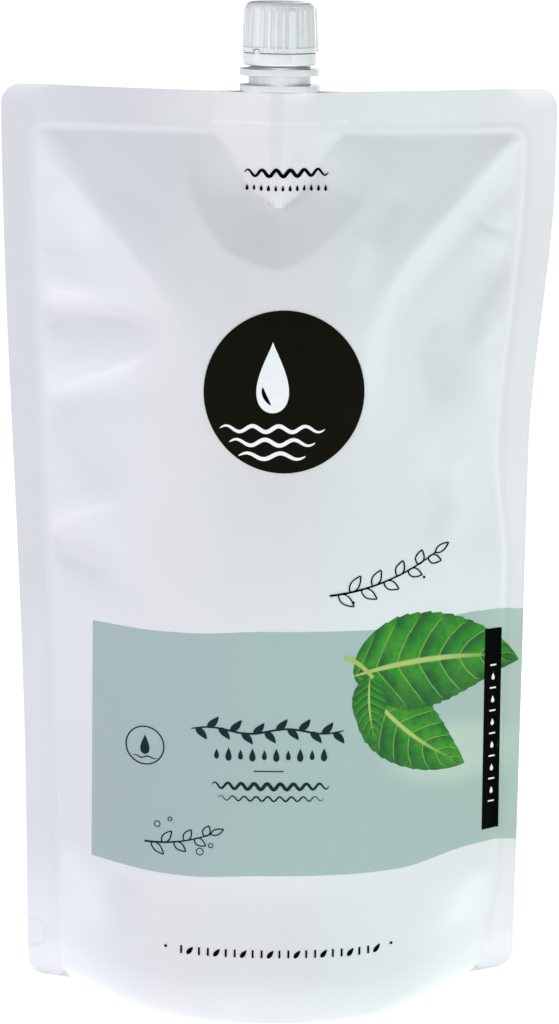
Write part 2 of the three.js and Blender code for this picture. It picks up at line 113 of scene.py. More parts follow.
# Creases: a path over the flat film, how far it stands out, how far its flanks run to the left and
# right of the way it goes, the shares of its length over which it begins and ends, and how much painted
# light lies along it, with painted shade where that amount is below 0, and how widely
CREASES = (
    (((79, 282), (63.5, 266.4), (52, 253.5), (40.5, 241), (33.5, 230.6), (29.5, 218), (29, 200), (30, 172)),
     1.3, 8.0, 4.0, 0.03, 0.35, 0.35, 3.4),
    (((84, 272), (68.5, 257), (57, 246), (46, 234), (39, 222), (36, 206), (36, 190)),
     -0.5, 3.5, 4.0, 0.1, 0.4, -0.2, 3.5),
    (((72, 266), (58, 246), (48, 226), (44, 204), (45, 182)), -0.3, 5.0, 5.0, 0.15, 0.4, -0.35, 7.5),
    (((70, 246), (60, 224), (55, 204), (54, 184)), -0.3, 6.0, 6.0, 0.2, 0.4, -0.42, 9.0),
    (((-79, 275), (-65.3, 263), (-52.3, 248.7), (-40.5, 235.5), (-35.7, 226.5), (-33, 212.8), (-29, 198)),
     1.0, 4.0, 8.0, 0.05, 0.5, 0.1, 3.0),
    (((-75, 196), (-63.8, 200.7), (-52, 205.8), (-41.4, 211.1), (-34, 216)),
     1.3, 7.0, 4.0, 0.1, 0.4, 0.3, 4.0),
    (((-75, 228), (-66, 229), (-55, 226)), 1.0, 5.0, 3.0, 0.2, 0.5, 0.3, 2.5),
    (((-76, 218), (-64, 222), (-50, 222), (-38, 217)), -1.0, 2.0, 7.0, 0.2, 0.3, -0.45, 2.5),
    (((-77, 241), (-68, 242), (-60, 240)), -0.8, 2.5, 4.0, 0.1, 0.6, -0.4, 2.2),
    (((-73, 151), (-67.3, 157.3), (-57.6, 162), (-44.6, 166.7)), 1.3, 8.0, 2.6, 0.1, 0.6, 0.3, 3.0),
    (((-73, 146), (-62, 144), (-54, 142), (-45, 138)), -1.0, 3.0, 7.0, 0.1, 0.5, -0.5, 5.0),
    (((-73, 190), (-64, 182), (-55, 172), (-48, 165)), -0.9, 4.0, 7.0, 0.15, 0.35, -0.45, 6.0),
    (((-72, 262), (-62, 250), (-58, 238)), 0.6, 4.0, 5.0, 0.2, 0.5, 0.35, 4.0),
    (((75.5, 246), (66, 250), (58, 256)), -0.8, 2.0, 4.0, 0.1, 0.6, -0.25, 2.0),
    (((76, 240), (69, 233), (62, 222), (60, 208)), -0.6, 3.0, 2.0, 0.1, 0.4, -0.35, 4.0),
    (((52, 226), (46, 214), (50, 200), (45, 190)), -0.7, 4.0, 3.0, 0.2, 0.4, -0.4, 5.0),
    (((72, 222), (63, 212), (69, 198), (73, 184)), 0.6, 4.0, 2.5, 0.15, 0.4, 0.3, 4.0),
    (((60, 182), (56, 172), (61, 162), (56, 150)), 0.7, 3.0, 4.0, 0.2, 0.4, 0.25, 3.0),
    (((48, 176), (52, 164), (47, 150)), -0.7, 4.0, 2.5, 0.3, 0.4, -0.5, 4.0),
    (((70, 178), (69, 165), (71, 150), (70, 138)), -0.7, 4.0, 2.5, 0.2, 0.4, -0.4, 2.5),
    (((38, 262), (33, 252), (30, 242)), -0.6, 4.0, 4.0, 0.2, 0.4, -0.3, 4.0),
    (((27, 250), (26, 240), (22, 230)), 0.5, 4.0, 4.0, 0.2, 0.4, 0.25, 4.0),
    (((68, 44), (60, 32), (56, 18)), 0.8, 6.0, 4.0, 0.2, 0.3, 0.4, 6.0),
    (((-74, 47), (-62, 34), (-56, 20)), 0.8, 4.0, 6.0, 0.2, 0.3, 0.4, 7.0),
    (((-46, 46), (-52, 34), (-44, 22)), -0.5, 5.0, 5.0, 0.2, 0.3, -0.25, 5.0),
)

# A crease falls off this fast beside its path, its edge is rounded by this much, and its painted light and
# shade lie to the left of its path by this share of their width
CREASE_FALL = 1.6
CREASE_EDGE = 0.02
TONE_ASIDE = 0.4

# The roof dips further inside this outline, round the tent below the spout
VALLEY_EDGE = (
    (-29, 280), (-28.5, 265.5), (-26.6, 257.6), (-21.9, 249.7), (-16.5, 243), (-7.8, 239.1), (-0.2, 237.3),
    (6.2, 239.3), (13.2, 244.4), (21.3, 251.3), (27.1, 258.1), (29.4, 267.2), (28, 280),
)
VALLEY_SLOPE = 0.27
VALLEY_ROUND = 0.3
VALLEY_RUN_IN = 22.0

# The tent falls from the weld to a point: the slopes of its ridge and flanks, its length, how much its
# flanks hold back from the point, the largest share of its length at which they still steepen, its rounded
# edges, and the share from which it sinks into the roof, and how steeply
TENT = dict(fall=0.09, flank=0.41, length=24.5, ease=0.55, steepest=0.97, round=0.7, tip=0.92, sinks=2.0)
WELD_BLEND = 0.5

# Double strip down the middle of the weld, and the lap across it
STRIP = dict(x=-1.0, half=2.1, depth=0.2, foot=262.0)
WELD_LINE = 283.0
LAP = 0.14

# The seal: a bead of film along its inner edge, an inner corner radius, how far it curls forward, and
# the distances from its inner edge between which the filling opens
SEAL_BEAD = 0.15
SEAL_BEAD_WIDTH = 0.8
SEAL_CORNER = 4.5
SEAL_CURL = 0.13
SEAL_OPENS = (-0.5, 2.5)
RIGHT_SEAL_NARROWS = 3.5

# Round tack weld low in the left seal
TACK = dict(x=-77.0, h=14.0, radius=5.0, depth=0.3)


def smooth(low, high, value):
    """A smooth step from 0 at low to 1 at high."""
    t = np.clip((value - low) / (high - low), 0.0, 1.0)
    return t * t * (3.0 - 2.0 * t)


def bell(distance, width):
    return np.exp(-(distance / width) ** 2)


def soft_min(a, b, radius):
    t = np.clip(0.5 + 0.5 * (b - a) / radius, 0.0, 1.0)
    return b + (a - b) * t - radius * t * (1.0 - t)


def soft_max(a, b, radius):
    return -soft_min(-a, -b, radius)


def corner_inset(distance, radius):
    rise = np.clip(radius - np.maximum(distance, 0.0), 0.0, None)
    inset = radius - np.sqrt(np.maximum(radius * radius - rise * rise, 0.0))
    return np.where(distance >= radius, 0.0, inset)


def half_width(x, h):
    """Half width of the flat film at height h, on the side that x is on."""
    shoulder = POUCH_HEIGHT - TOP_CORNER

    def edge(e):
        flare = (POUCH_WIDTH / 2 - e["foot"] - e["taper"]) * smooth(e["flare_from"], e["flare_to"], h)
        return e["foot"] + e["taper"] * np.minimum(1.0, h / shoulder) + flare

    full = np.where(np.asarray(x) < 0, edge(LEFT_EDGE), edge(RIGHT_EDGE))
    return full - corner_inset(POUCH_HEIGHT - h, TOP_CORNER) - corner_inset(h, BOTTOM_CORNER)


def inner_width(x, h):
    """Distance of the side seal's inner edge from the middle. The filling opens the right seal a little."""
    narrower = RIGHT_SEAL_NARROWS * smooth(180.0, 140.0, h) * smooth(6.0, 40.0, h) * (np.asarray(x) > 0)
    return half_width(x, h) - SIDE_SEAL + narrower


def along(path, x, h):
    """Distance from a path, positive on its right, and the share of its length at the nearest place."""
    points = np.asarray(path, float)
    lengths = np.hypot(*np.diff(points, axis=0).T)
    total = lengths.sum()
    best = np.full(np.shape(x), 1e9)
    signed, share = np.zeros_like(best), np.zeros_like(best)
    done = 0.0
    for (x0, h0), (x1, h1), length in zip(points[:-1], points[1:], lengths):
        ux, uh = (x1 - x0) / length, (h1 - h0) / length
        t = np.clip((x - x0) * ux + (h - h0) * uh, 0.0, length)
        dx, dh = x - x0 - t * ux, h - h0 - t * uh
        distance = np.hypot(dx, dh)
        nearer = distance < best
        side = np.where(dx * uh - dh * ux >= 0, 1.0, -1.0)
        signed = np.where(nearer, distance * side, signed)
        share = np.where(nearer, (done + t) / total, share)
        best = np.minimum(best, distance)
        done += length
    return signed, share


def creases(x, h):
    """How far the creases raise the front, and how much painted light and shade lie along them."""
    relief = np.zeros_like(x + h)
    tone = np.zeros_like(relief)
    for path, stand, left, right, begins, ends, lighter, glow in CREASES:
        signed, share = along(path, x, h)
        reach = np.where(signed > 0, right, left)
        fade = smooth(0.0, begins, share) * (1.0 - smooth(1.0 - ends, 1.0, share))
        off = np.sqrt((signed / reach) ** 2 + CREASE_EDGE)
        relief = relief + stand * fade * np.exp(-CREASE_FALL * off)
        tone = tone + lighter * fade * bell(signed + TONE_ASIDE * glow, glow)
    return relief, tone


def fold_place(panel, x, h):
    """Where the front has the folds that a panel has at a place."""
    return (x, h) if panel < 0 else (-x, h - BACK_FOLDS_RAISED)


def seal_distance(x, h):
    """How far a place lies inside the seal's inner edge, which is rounded at the two upper corners."""
    aside = inner_width(x, h) - np.abs(x)
    below = POUCH_HEIGHT - TOP_SEAL - h
    across, down = np.maximum(0.0, SEAL_CORNER - aside), np.maximum(0.0, SEAL_CORNER - below)
    in_corner = (aside < SEAL_CORNER) & (below < SEAL_CORNER)
    return np.where(in_corner, SEAL_CORNER - np.hypot(across, down), np.minimum(aside, below))


def patch_depth(x):
    """Half depth of the film where it is welded over the spout's boat."""
    return soft_min(PATCH_DEPTH, PATCH_DEPTH * WELD_RIDGE * (1.0 - np.abs(x) / WELD_HALF), 1.0)


def belly_depth(h):
    """Half depth of the filling on the centre line."""
    up = np.maximum(0.0, (h - BELLY_HEIGHT) / (SHOULDER_HEIGHT - BELLY_HEIGHT))
    low = BASE_DEPTH + (BELLY_DEPTH - BASE_DEPTH) * smooth(0.0, BELLY_HEIGHT, h)
    return np.where(h < BELLY_HEIGHT, low, BELLY_DEPTH - (BELLY_DEPTH - SHOULDER_DEPTH) * up ** BELLY_TAPER)


def fold_depth(x, h, inner):
    """How far the pinched folds and the hollows take the front in."""
    inwards = inner - np.abs(x)
    depth = np.zeros_like(x + h)
    for side, height, run, width, deep, slope in PINCH_FOLDS:
        here = (np.sign(x) == side) & (inwards > 0) & (inwards < run)
        offset = (h - height - slope * inwards) / width
        cut = deep * smooth(0.0, PINCH_BEGINS, inwards) * (1.0 - inwards / run) * np.exp(-offset * offset)
        depth = depth + np.where(here, cut, 0.0)
    for x0, h0, half_long, half_wide, deep, turn in HOLLOWS:
        dx, dh = x - x0, h - h0
        a = (dh * math.cos(turn) - dx * math.sin(turn)) / half_long
        c = (dx * math.cos(turn) + dh * math.sin(turn)) / half_wide
        depth = depth + deep * np.exp(-a * a - c * c)
    return depth


def strip_share(x, h):
    """1 within the strip down the middle of the weld, 0 outside it."""
    off = np.abs(x - STRIP["x"]) - STRIP["half"]
    return (1.0 - smooth(-0.4, 0.4, off)) * smooth(STRIP["foot"], STRIP["foot"] + 12.0, h)


def tent_depth(x, h):
    """The weld over the boat, and the tent that falls from it to a point."""
    below = np.maximum(0.0, POUCH_HEIGHT - TOP_SEAL - h)
    down = np.clip(below / TENT["length"], 0.0, TENT["steepest"])
    flank = TENT["flank"] * (1.0 - TENT["ease"] * down) / (1.0 - down)
    ridge = PATCH_DEPTH - TENT["fall"] * below
    tent = soft_min(ridge, PATCH_DEPTH * WELD_RIDGE - flank * np.abs(x), TENT["round"])
    tent = tent - TENT["sinks"] * np.maximum(0.0, below - TENT["tip"] * TENT["length"])
    lap = LAP * smooth(WELD_LINE - 0.4, WELD_LINE + 0.4, h)
    return tent - STRIP["depth"] * strip_share(x, h) - lap


def filled_depth(panel, x, h):
    """Half depth of the filled pouch with its folds, but without the weld and the tent at the spout."""
    inner = inner_width(x, h)
    share = np.minimum(1.0, np.abs(x) / inner)
    section = belly_depth(h) * (1.0 - share ** 2)
    below = np.maximum(0.0, POUCH_HEIGHT - TOP_SEAL - h)
    roof = ROOF_DEPTH * (1.0 - np.exp(-below / ROOF_REACH))
    crease = np.minimum(CREASE_RADIUS, CREASE_SHARE * np.minimum(section, roof)) + 0.001
    depth = soft_min(section, roof, crease)
    sealed = seal_distance(x, h)
    square = np.minimum(inner - np.abs(x), below)
    depth = depth * smooth(*SEAL_OPENS, sealed) / np.maximum(smooth(*SEAL_OPENS, square), 0.01)
    place = fold_place(panel, x, h)
    relief, _ = creases(*place)
    depth = depth - fold_depth(*place, inner) + relief * smooth(0.0, 6.0, sealed)
    if panel < 0:
        inside, _ = along(VALLEY_EDGE, x, h)
        dip = VALLEY_SLOPE * soft_max(-inside, 0.0, VALLEY_ROUND)
        depth = depth - dip * smooth(0.0, VALLEY_RUN_IN, below)
    return depth


def panel_depth(panel, x, h):
    """Distance of the film from the pouch's middle plane, on the front (-1) or the back (1)."""
    depth = soft_max(filled_depth(panel, x, h), tent_depth(x, h), WELD_BLEND)
    bead = SEAL_BEAD * bell(seal_distance(x, h), SEAL_BEAD_WIDTH)
    bead = bead * smooth(30.0, 60.0, x) * smooth(60.0, 140.0, h)
    tack = 0.0
    if panel < 0:
        out = np.hypot(x - TACK["x"], h - TACK["h"]) - TACK["radius"]
        tack = TACK["depth"] * (1.0 - smooth(-0.8, 0.2, out))
    return np.maximum(FILM / 2, depth) + bead - tack


def film_painted_light(panel, x, h):
    """Painted light and shade on the film: how much lighter or darker its colour is painted than flat film's.
    """
    _, tone = creases(*fold_place(panel, x, h))
    sealed = seal_distance(x, h)
    tone = tone * smooth(0.0, 3.0, sealed)

    # Painted highlight along the right seal's inner edge, with a painted dark line of shade on the seal
    # beside it
    off_weld = smooth(WELD_HALF, WELD_HALF + 2.0, np.abs(x))
    on_right = smooth(45.0, 70.0, x) * smooth(90.0, 140.0, h)
    tone = tone + off_weld * 0.35 * on_right * bell(sealed, 0.7)
    tone = tone - off_weld * (0.15 + 0.3 * on_right) * bell(sealed + 1.6, 0.8)

    # Painted shade on the top seal's left, and painted light on the low corners and the bottom rim
    tone = tone - 0.45 * bell(x + 50.0, 24.0) * smooth(-0.5, -2.0, POUCH_HEIGHT - TOP_SEAL - h)
    tone = tone + 0.7 * smooth(60.0, 10.0, h) * smooth(38.0, 70.0, np.abs(x)) + 0.5 * smooth(16.0, 3.0, h)
    if panel < 0:
        # Painted shade: the belly's middle faces away from the lights and is painted a little darker
        upper = smooth(122.0, 150.0, h) * smooth(215.0, 188.0, h)
        lower = smooth(46.0, 36.0, h) * smooth(8.0, 20.0, h)
        tone = tone - 0.42 * bell(x - 2.0, 30.0) * (upper + 0.8 * lower)

    # Painted shade in the valley round the tent, on the left seal and on the tent's left flank, and a touch
    # of painted light on the rest of the tent
    inside, _ = along(VALLEY_EDGE, x, h)
    tone = tone - 0.2 * smooth(0.0, 0.7, -inside) * smooth(280.0, 262.0, h) * (panel < 0)
    on_left = smooth(-25.0, -60.0, x) * smooth(110.0, 140.0, h)
    tone = tone - 0.35 * smooth(-0.5, -3.0, sealed) * on_left * off_weld
    tent = smooth(-0.4, 0.8, tent_depth(x, h) - filled_depth(panel, x, h)) * smooth(281.0, 278.0, h)
    tone = tone + tent * (0.05 - 0.2 * smooth(2.0, -6.0, x))

    # The weld is a little lighter; painted shade down the strip in its middle, a painted highlight along the
    # strip's edge, and a painted highlight along the line across the weld
    weld = 1.0 - smooth(WELD_HALF - 0.2, WELD_HALF + 0.2, np.abs(x))
    weld = weld * smooth(WELD_LINE - 4.5, WELD_LINE - 3.5, h)
    tone = tone - 0.4 * strip_share(x, h) + 0.12 * weld
    tone = tone + 0.45 * bell(h - WELD_LINE, 0.6) * (np.abs(x) < WELD_HALF)
    strip_edge = STRIP["x"] + STRIP["half"] + 0.3
    lit = 1.0 - smooth(268.0, 274.0, h)
    tone = tone + 0.5 * bell(x - strip_edge, 0.35) * smooth(258.0, 262.0, h) * lit
    # Painted shade in a ring round the tack weld's rim
    if panel < 0:
        rim = np.hypot(x - TACK["x"], h - TACK["h"]) - TACK["radius"]
        tone = tone - 0.5 * bell(rim, 0.5)
    return tone


def edge_lift(x, h):
    """How far the film is drawn up: the lower corners off the floor, the upper ones by the top seal's bow."""
    share = np.abs(x) / half_width(x, np.full_like(x + h, BOTTOM_CORNER))
    low = np.where(x < 0, LIFT_LEFT, LIFT_RIGHT) * smooth(LIFT_BEGINS, LIFT_ENDS, share)
    high = CORNER_RISE * (np.abs(x) / (POUCH_WIDTH / 2)) ** 1.5
    return low * (1.0 - smooth(0.0, LIFT_FADE, h)) + high * smooth(POUCH_HEIGHT / 2, POUCH_HEIGHT, h)


def film_points(panel, x, h):
    """Places on the film in millimetres, for flat film coordinates x and h."""
    x = np.asarray(x, float)
    h = np.asarray(h, float)
    inner = inner_width(x, h)
    sweep = SEAL_SWEEP * (np.minimum(np.abs(x), inner) / (POUCH_WIDTH / 2)) ** 3
    sweep = sweep - SEAL_CURL * np.maximum(0.0, np.abs(x) - inner)
    y = panel * panel_depth(panel, x, h) + sweep
    return np.stack([x + 0 * h, y, h + edge_lift(x, h)], -1)


# Meshes

def add_object(name, data):
    """An object of the scene that holds a mesh, a light or a camera."""
    made = bpy.data.objects.new(name, data)
    bpy.context.scene.collection.objects.link(made)
    return made


def make_object(name, points, faces, sharp_from, materials=(), face_materials=None, maps=()):
    """A mesh object from places in millimetres. maps holds named pairs of numbers a point, for UV maps."""
    mesh = bpy.data.meshes.new(name)
    mesh.from_pydata((np.asarray(points) * MM).tolist(), [], faces)
    mesh.polygons.foreach_set("use_smooth", np.ones(len(mesh.polygons), bool))
    for material in materials:
        mesh.materials.append(material)
    if face_materials is not None:
        mesh.polygons.foreach_set("material_index", np.asarray(face_materials, np.int32))
    loops = np.empty(len(mesh.loops), np.int32)
    mesh.loops.foreach_get("vertex_index", loops)
    for map_name, pairs in maps:
        layer = mesh.uv_layers.new(name=map_name)
        layer.uv.foreach_set("vector", np.asarray(pairs, np.float32)[loops].ravel())
    mesh.update()
    mesh.set_sharp_from_angle(angle=math.radians(sharp_from))
    return add_object(name, mesh)


def grid_faces(index, flip=False):
    """Quads of a rectangular array of vertex numbers."""
    a, b = index[:-1, :-1].ravel(), index[:-1, 1:].ravel()
    c, d = index[1:, 1:].ravel(), index[1:, :-1].ravel()
    return np.stack([a, d, c, b] if flip else [a, b, c, d], -1).tolist()


# The film's columns on one side, as (zone, share): over the boat, the panel and the side seal
PATCH_COLUMNS = 20
PANEL_COLUMNS = 44
SEAL_COLUMNS = 9
POCKET_COLUMN = 17


def column_zones():
    """Zone and share of each column of one side, from the middle out."""
    pocket = (BOAT_HALF + CLEARANCE) / WELD_HALF
    inside = np.linspace(0.0, pocket, POCKET_COLUMN + 1)[1:]
    outside = np.linspace(pocket, 1.0, PATCH_COLUMNS - POCKET_COLUMN + 1)[1:]
    panel = np.linspace(0.0, 1.0, PANEL_COLUMNS + 1)[1:]
    seal = np.linspace(0.0, 1.0, SEAL_COLUMNS + 1)[1:]
    return [(0, s) for s in (*inside, *outside)] + [(1, s) for s in panel] + [(2, s) for s in seal]


def column_x(side, h):
    """x of each column at each height, with one row for each height."""
    inner = inner_width(side, h)
    starts = (np.zeros_like(h), np.full_like(h, WELD_HALF), inner)
    ends = (np.full_like(h, WELD_HALF), inner, half_width(side, h))
    return np.stack([side * (starts[z] + s * (ends[z] - starts[z])) for z, s in column_zones()], -1)


def film_rows():
    """Heights of the film's rows, which follow the rounded corners and lie closest where the creases are."""
    seal_line = POUCH_HEIGHT - TOP_SEAL
    turn = np.linspace(0.0, math.pi / 2, 7)
    foot = BOTTOM_CORNER * (1.0 - np.cos(turn))
    head = (POUCH_HEIGHT - TOP_CORNER * (1.0 - np.cos(turn)))[::-1]
    return np.concatenate([
        foot[:-1],
        np.linspace(BOTTOM_CORNER, 60.0, 52)[:-1],
        np.linspace(60.0, 190.0, 118)[:-1],
        np.linspace(190.0, seal_line, 100)[:-1],
        np.linspace(seal_line, head[0], 9)[:-1],
        head,
    ])


def gusset_height(x, depth, share):
    """Height of the folded base above the film's lower edge, at a share of the way out from the middle."""
    inner = half_width(x, np.full_like(x, BOTTOM_CORNER)) - SIDE_SEAL
    side = np.minimum(1.0, np.abs(x) / inner)
    g, at, fold_at = GUSSET, GUSSET_SHARES, SIDE_FOLD_SHARES
    groove = smooth(at["slope"], at["groove"], share) * (1.0 - smooth(at["groove"], at["rim"], share))
    weld = g["weld"] * groove * smooth(0.0, g["weld_width"], depth)
    fold = g["fold"] * smooth(fold_at["rises"], fold_at["full"], side)
    fold = fold * (1.0 - smooth(fold_at["falls"], 1.0, side))
    crease = g["crease"] * (1.0 - smooth(0.0, at["crease"], share)) * smooth(0.0, g["crease_width"], depth)
    return weld + fold * (1.0 - share * share) + crease


# Rows of the folded base, as shares of the way from its middle crease to the panel's edge
BASE_SHARES = (1, 0.985, 0.965, 0.94, 0.9, 0.8, 0.65, 0.5, 0.35, 0.2, 0.1, 0.045, 0.02, 0)


def make_film(front_material, back_material, base_material):
    """The filled pouch as one closed body, open only at the pocket that the spout's boat is welded into."""
    rows = film_rows()
    x = np.concatenate([column_x(-1.0, rows)[:, ::-1], np.zeros((len(rows), 1)), column_x(1.0, rows)], 1)
    h = np.repeat(rows[:, None], x.shape[1], 1)
    points = [film_points(-1, x, h).reshape(-1, 3), film_points(1, x, h).reshape(-1, 3)]
    flat = [np.stack([x, h], -1).reshape(-1, 2)] * 2
    tone = [film_painted_light(panel, x, h).ravel() for panel in (-1, 1)]
    front = np.arange(x.size).reshape(x.shape)
    back = front + x.size
    total = 2 * x.size
    faces = []
    kinds = []

    def add(new, kind):
        faces.extend(new)
        kinds.extend([kind] * len(new))

    add(grid_faces(front), 0)
    add(grid_faces(back, flip=True), 1)
    add(grid_faces(np.stack([back[1:, 0], front[1:, 0]], -1)), 1)
    add(grid_faces(np.stack([front[1:, -1], back[1:, -1]], -1)), 1)

    # Top edge, round the pocket
    middle = x.shape[1] // 2
    left, right = middle - POCKET_COLUMN, middle + POCKET_COLUMN
    for part in (slice(0, left + 1), slice(right, None)):
        add(grid_faces(np.stack([front[-1, part], back[-1, part]])), 1)
    mouth_x = x[-1, left:right + 1]
    within = np.clip(np.abs(mouth_x), 0.0, BOAT_HALF)
    deep = patch_depth(within) - BOAT_FILM
    floor = POUCH_HEIGHT - TOP_SEAL - CLEARANCE
    top = points[0][front[-1, left:right + 1], 2]
    loops = []
    for z in (top, np.full_like(top, floor)):
        loop = [np.stack([mouth_x, side * deep, z], -1) for side in (-1, 1)]
        loops.append((total + np.arange(len(mouth_x)), total + len(mouth_x) + np.arange(len(mouth_x))))
        points.extend(loop)
        flat.extend([np.stack([mouth_x, z], -1)] * 2)
        total += 2 * len(mouth_x)
    (rim_front, rim_back), (floor_front, floor_back) = loops
    add(grid_faces(np.stack([front[-1, left:right + 1], rim_front])), 1)
    add(grid_faces(np.stack([rim_back, back[-1, left:right + 1]])), 1)
    add(grid_faces(np.stack([rim_front, floor_front])), 1)
    add(grid_faces(np.stack([floor_back, rim_back])), 1)
    add(grid_faces(np.stack([floor_front, floor_back])), 1)
    for i, column, turned in ((0, left, False), (-1, right, True)):
        wall = [rim_back[i], floor_back[i], floor_front[i], rim_front[i]]
        end = [front[-1, column], rim_front[i], rim_back[i], back[-1, column]]
        add([wall if turned else wall[::-1]], 1)
        add([end[::-1] if turned else end], 1)

    # Folded base, from the front panel's lower edge to the back panel's
    shares = [*BASE_SHARES, *(-s for s in BASE_SHARES[-2::-1])]
    edge_front, edge_back = points[0][front[0]], points[1][front[0]]
    between = (edge_front[:, 1] + edge_back[:, 1]) / 2
    depth = between - edge_front[:, 1]
    strips = [front[0]]
    for share in shares[1:-1]:
        z = edge_front[:, 2] + gusset_height(edge_front[:, 0], depth, abs(share))
        points.append(np.stack([edge_front[:, 0], between - share * depth, z], -1))
        flat.append(np.stack([edge_front[:, 0], between - share * depth], -1))
        strips.append(total + np.arange(x.shape[1]))
        total += x.shape[1]
    strips.append(back[0])
    base = np.stack(strips)
    add(grid_faces(base, flip=True), 2)
    add([[int(base[k + 1, 0]), int(base[k, 0]), int(front[1, 0])] for k in range(len(base) - 1)], 1)
    add([[int(base[k, -1]), int(base[k + 1, -1]), int(front[1, -1])] for k in range(len(base) - 1)], 1)
    add([[int(back[0, 0]), int(front[1, 0]), int(back[1, 0])]], 1)
    add([[int(back[0, -1]), int(back[1, -1]), int(front[1, -1])]], 1)

    # The second map carries the painted light and shade for the film's material
    tone = np.concatenate(tone)
    shade = np.zeros((total, 2))
    shade[:len(tone), 0] = tone
    return make_object(
        "pouch_film", np.concatenate(points), faces, 40.0,
        materials=(front_material, back_material, base_material), face_materials=kinds,
        maps=(("Flat", np.concatenate(flat)), ("Painted_light", shade)),
    )


# Print: thin closed shapes that lie on the film, on its front and its back

INK_STEP = 0.05
INK_SUNK = 0.06


def film_normals(panel, x, h):
    """Unit vectors out of the film."""
    step = 0.2
    across = film_points(panel, x + step, h) - film_points(panel, x - step, h)
    up = film_points(panel, x, h + step) - film_points(panel, x, h - step)
    normal = -panel * np.cross(across, up)
    return normal / np.linalg.norm(normal, axis=-1, keepdims=True)


def bent_line(x0, h0, length, turn, bend, cells):
    """A line from a place that turns by bend on its way: its shares, headings, x and heights."""
    t = np.linspace(0.0, 1.0, cells)
    heading = math.radians(turn) + bend * (t - 0.5)
    xs = x0 + length * np.concatenate([[0.0], np.cumsum(np.cos(heading[:-1]))]) / (cells - 1)
    hs = h0 + length * np.concatenate([[0.0], np.cumsum(np.sin(heading[:-1]))]) / (cells - 1)
    return t, heading, xs, hs


